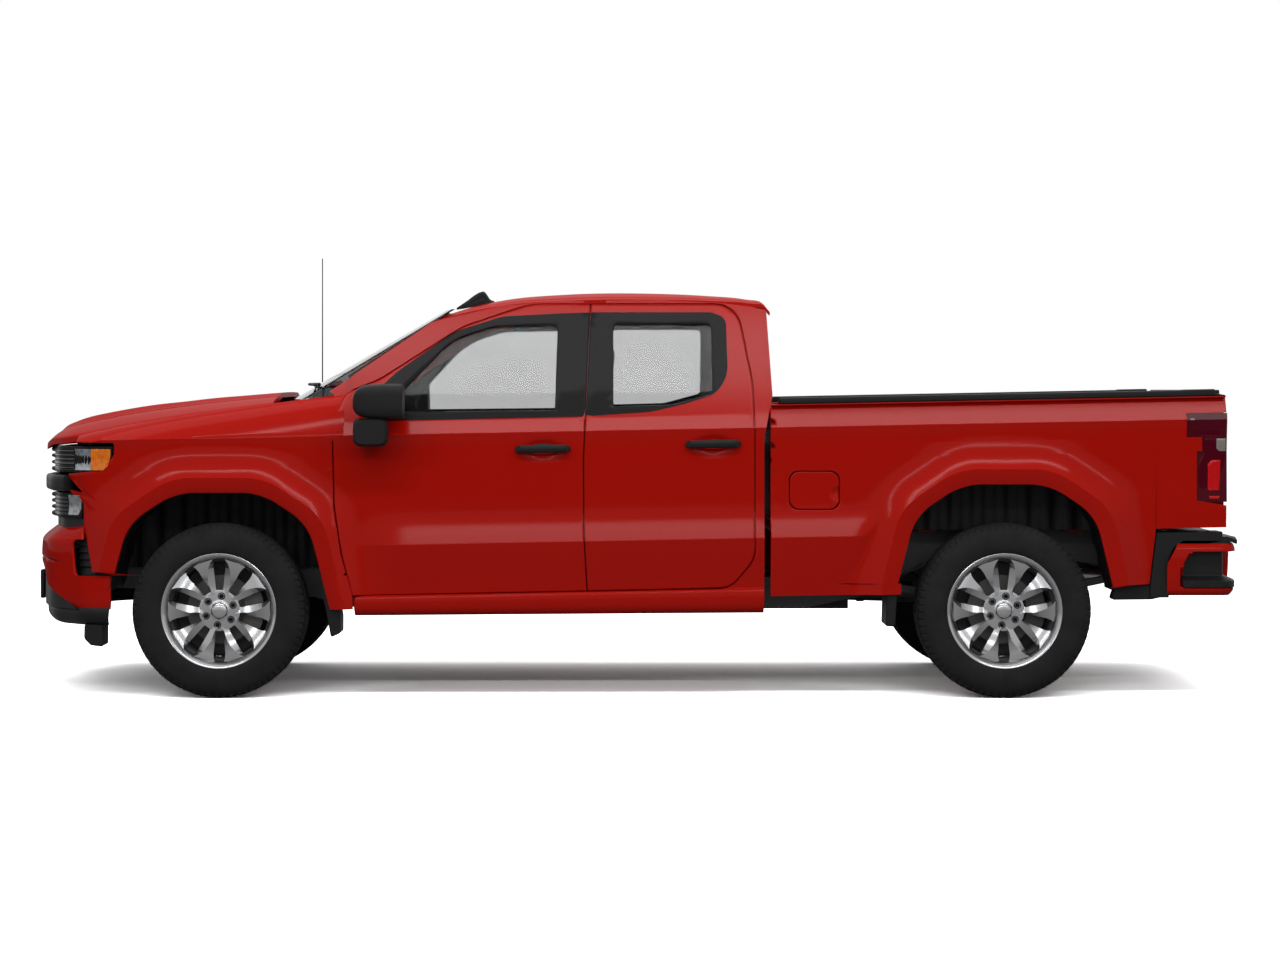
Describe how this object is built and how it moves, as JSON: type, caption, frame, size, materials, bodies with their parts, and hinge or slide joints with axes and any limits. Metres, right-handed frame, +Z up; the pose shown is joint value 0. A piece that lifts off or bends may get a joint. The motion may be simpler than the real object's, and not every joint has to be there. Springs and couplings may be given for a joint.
{
  "type": "full-size extended-cab pickup truck",
  "caption": "Full-size pickup truck with a long cab, rear doors and an open load bed; wheels, steering, doors, hood, tailgate and filler door move.",
  "frame": {"origin": "on the ground under the middle of the truck's bounding box", "axes": "+Z up, nose towards -X, the truck's left side towards -Y"},
  "size_m": [5.885, 2.43, 2.175],
  "materials": {
    "paint": "gloss",
    "black_plastic": "satin",
    "glass": "gloss",
    "lamp_lens": "gloss",
    "tail_lens": "gloss",
    "alloy": "machined",
    "tyre": "matte",
    "steel": "satin",
    "cast": "rough",
    "exhaust_steel": "satin",
    "trim": "matte",
    "cloth": "matte"
  },
  "bodies": {
    "chassis": {"frame": "steel", "side_frames": "paint", "roof": "paint", "cab_tub": "paint", "cab_glass": "glass", "fenders": "paint", "grille": "black_plastic", "head_lamps": "lamp_lens", "front_bumper": "paint", "front_valance": "black_plastic", "cowl": "black_plastic", "bed_sides": "paint", "bed_box": "paint", "tail_lamps": "tail_lens", "rail_caps": "black_plastic", "rear_bumper": "paint", "front_suspension": "steel", "rear_axle": "steel", "rear_springs": "steel", "powertrain": "cast", "driveshaft": "steel", "exhaust": "exhaust_steel", "fuel_tank": "black_plastic", "dashboard": "trim", "steering_wheel": "trim", "seats": "cloth", "splash_guards": "black_plastic", "aerials": "black_plastic"},
    "knuckle_left": {"knuckle_left": "cast"},
    "knuckle_right": {"knuckle_right": "cast"},
    "front_wheel_left": {"tyre_front_left": "tyre", "wheel_front_left": "alloy"},
    "front_wheel_right": {"tyre_front_right": "tyre", "wheel_front_right": "alloy"},
    "rear_wheel_left": {"tyre_rear_left": "tyre", "wheel_rear_left": "alloy"},
    "rear_wheel_right": {"tyre_rear_right": "tyre", "wheel_rear_right": "alloy"},
    "front_door_left": {"door_front_left": "paint", "glass_front_left": "glass"},
    "front_door_right": {"door_front_right": "paint", "glass_front_right": "glass"},
    "rear_door_left": {"door_rear_left": "paint", "glass_rear_left": "glass"},
    "rear_door_right": {"door_rear_right": "paint", "glass_rear_right": "glass"},
    "hood": {"hood": "paint"},
    "tailgate": {"tailgate": "paint"},
    "fuel_door": {"fuel_door": "paint"}
  },
  "joints": [
    {"name": "steer_left", "type": "hinge", "parent": "chassis", "child": "knuckle_left", "pos_m": [-1.9475, -0.705, 0.417], "axis": [0, 0, 1], "range_deg": [-33, 33]},
    {"name": "steer_right", "type": "hinge", "parent": "chassis", "child": "knuckle_right", "pos_m": [-1.9475, 0.705, 0.417], "axis": [0, 0, 1], "range_deg": [-33, 33]},
    {"name": "roll_front_left", "type": "hinge", "parent": "knuckle_left", "child": "front_wheel_left", "pos_m": [-1.9475, -0.866, 0.417], "axis": [0, 1, 0], "continuous": true},
    {"name": "roll_rear_left", "type": "hinge", "parent": "chassis", "child": "rear_wheel_left", "pos_m": [1.7975, -0.866, 0.417], "axis": [0, 1, 0], "continuous": true},
    {"name": "swing_front_left", "type": "hinge", "parent": "chassis", "child": "front_door_left", "pos_m": [-1.3525, -1.003, 0.9], "axis": [0, 0, -1], "range_deg": [0, 68]},
    {"name": "swing_rear_left", "type": "hinge", "parent": "chassis", "child": "rear_door_left", "pos_m": [-0.1565, -1.003, 0.9], "axis": [0, 0, -1], "range_deg": [0, 68]},
    {"name": "roll_front_right", "type": "hinge", "parent": "knuckle_right", "child": "front_wheel_right", "pos_m": [-1.9475, 0.866, 0.417], "axis": [0, 1, 0], "continuous": true},
    {"name": "roll_rear_right", "type": "hinge", "parent": "chassis", "child": "rear_wheel_right", "pos_m": [1.7975, 0.866, 0.417], "axis": [0, 1, 0], "continuous": true},
    {"name": "swing_front_right", "type": "hinge", "parent": "chassis", "child": "front_door_right", "pos_m": [-1.3525, 1.003, 0.9], "axis": [0, 0, 1], "range_deg": [0, 68]},
    {"name": "swing_rear_right", "type": "hinge", "parent": "chassis", "child": "rear_door_right", "pos_m": [-0.1565, 1.003, 0.9], "axis": [0, 0, 1], "range_deg": [0, 68]},
    {"name": "lift_hood", "type": "hinge", "parent": "chassis", "child": "hood", "pos_m": [-1.6375, 0, 1.374], "axis": [0, 1, 0], "range_deg": [0, 50]},
    {"name": "drop_tailgate", "type": "hinge", "parent": "chassis", "child": "tailgate", "pos_m": [2.8105, 0, 0.863], "axis": [0, 1, 0], "range_deg": [0, 90]},
    {"name": "swing_fuel_door", "type": "hinge", "parent": "chassis", "child": "fuel_door", "pos_m": [0.7775, -0.98, 0.992], "axis": [0, 0, -1], "range_deg": [0, 95]}
  ],
  "couplings": [
    {"joint": "steer_right", "follows": "steer_left", "ratio": 1}
  ]
}
